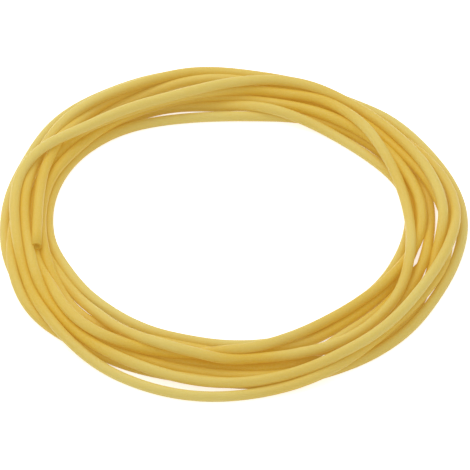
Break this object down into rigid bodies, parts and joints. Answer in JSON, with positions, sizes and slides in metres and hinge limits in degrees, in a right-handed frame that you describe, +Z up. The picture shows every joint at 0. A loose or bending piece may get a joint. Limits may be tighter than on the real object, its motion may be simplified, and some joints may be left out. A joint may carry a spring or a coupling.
{
  "type": "rubber tubing coil",
  "caption": "Loose hand-wound coil of hollow amber rubber tubing lying flat, with one cut end on top whose bore pushes onto a hose barb.",
  "frame": {"origin": "middle of the coil's box, on the surface that the coil lies on", "axes": "+Z up out of that surface, +Y to the far side of the coil, -X to the side where the tube's free end lies"},
  "size_m": [0.362, 0.364, 0.0229],
  "materials": {
    "latex": "matte"
  },
  "bodies": {
    "root": {"coil": "latex", "free_end": "latex"}
  },
  "joints": []
}
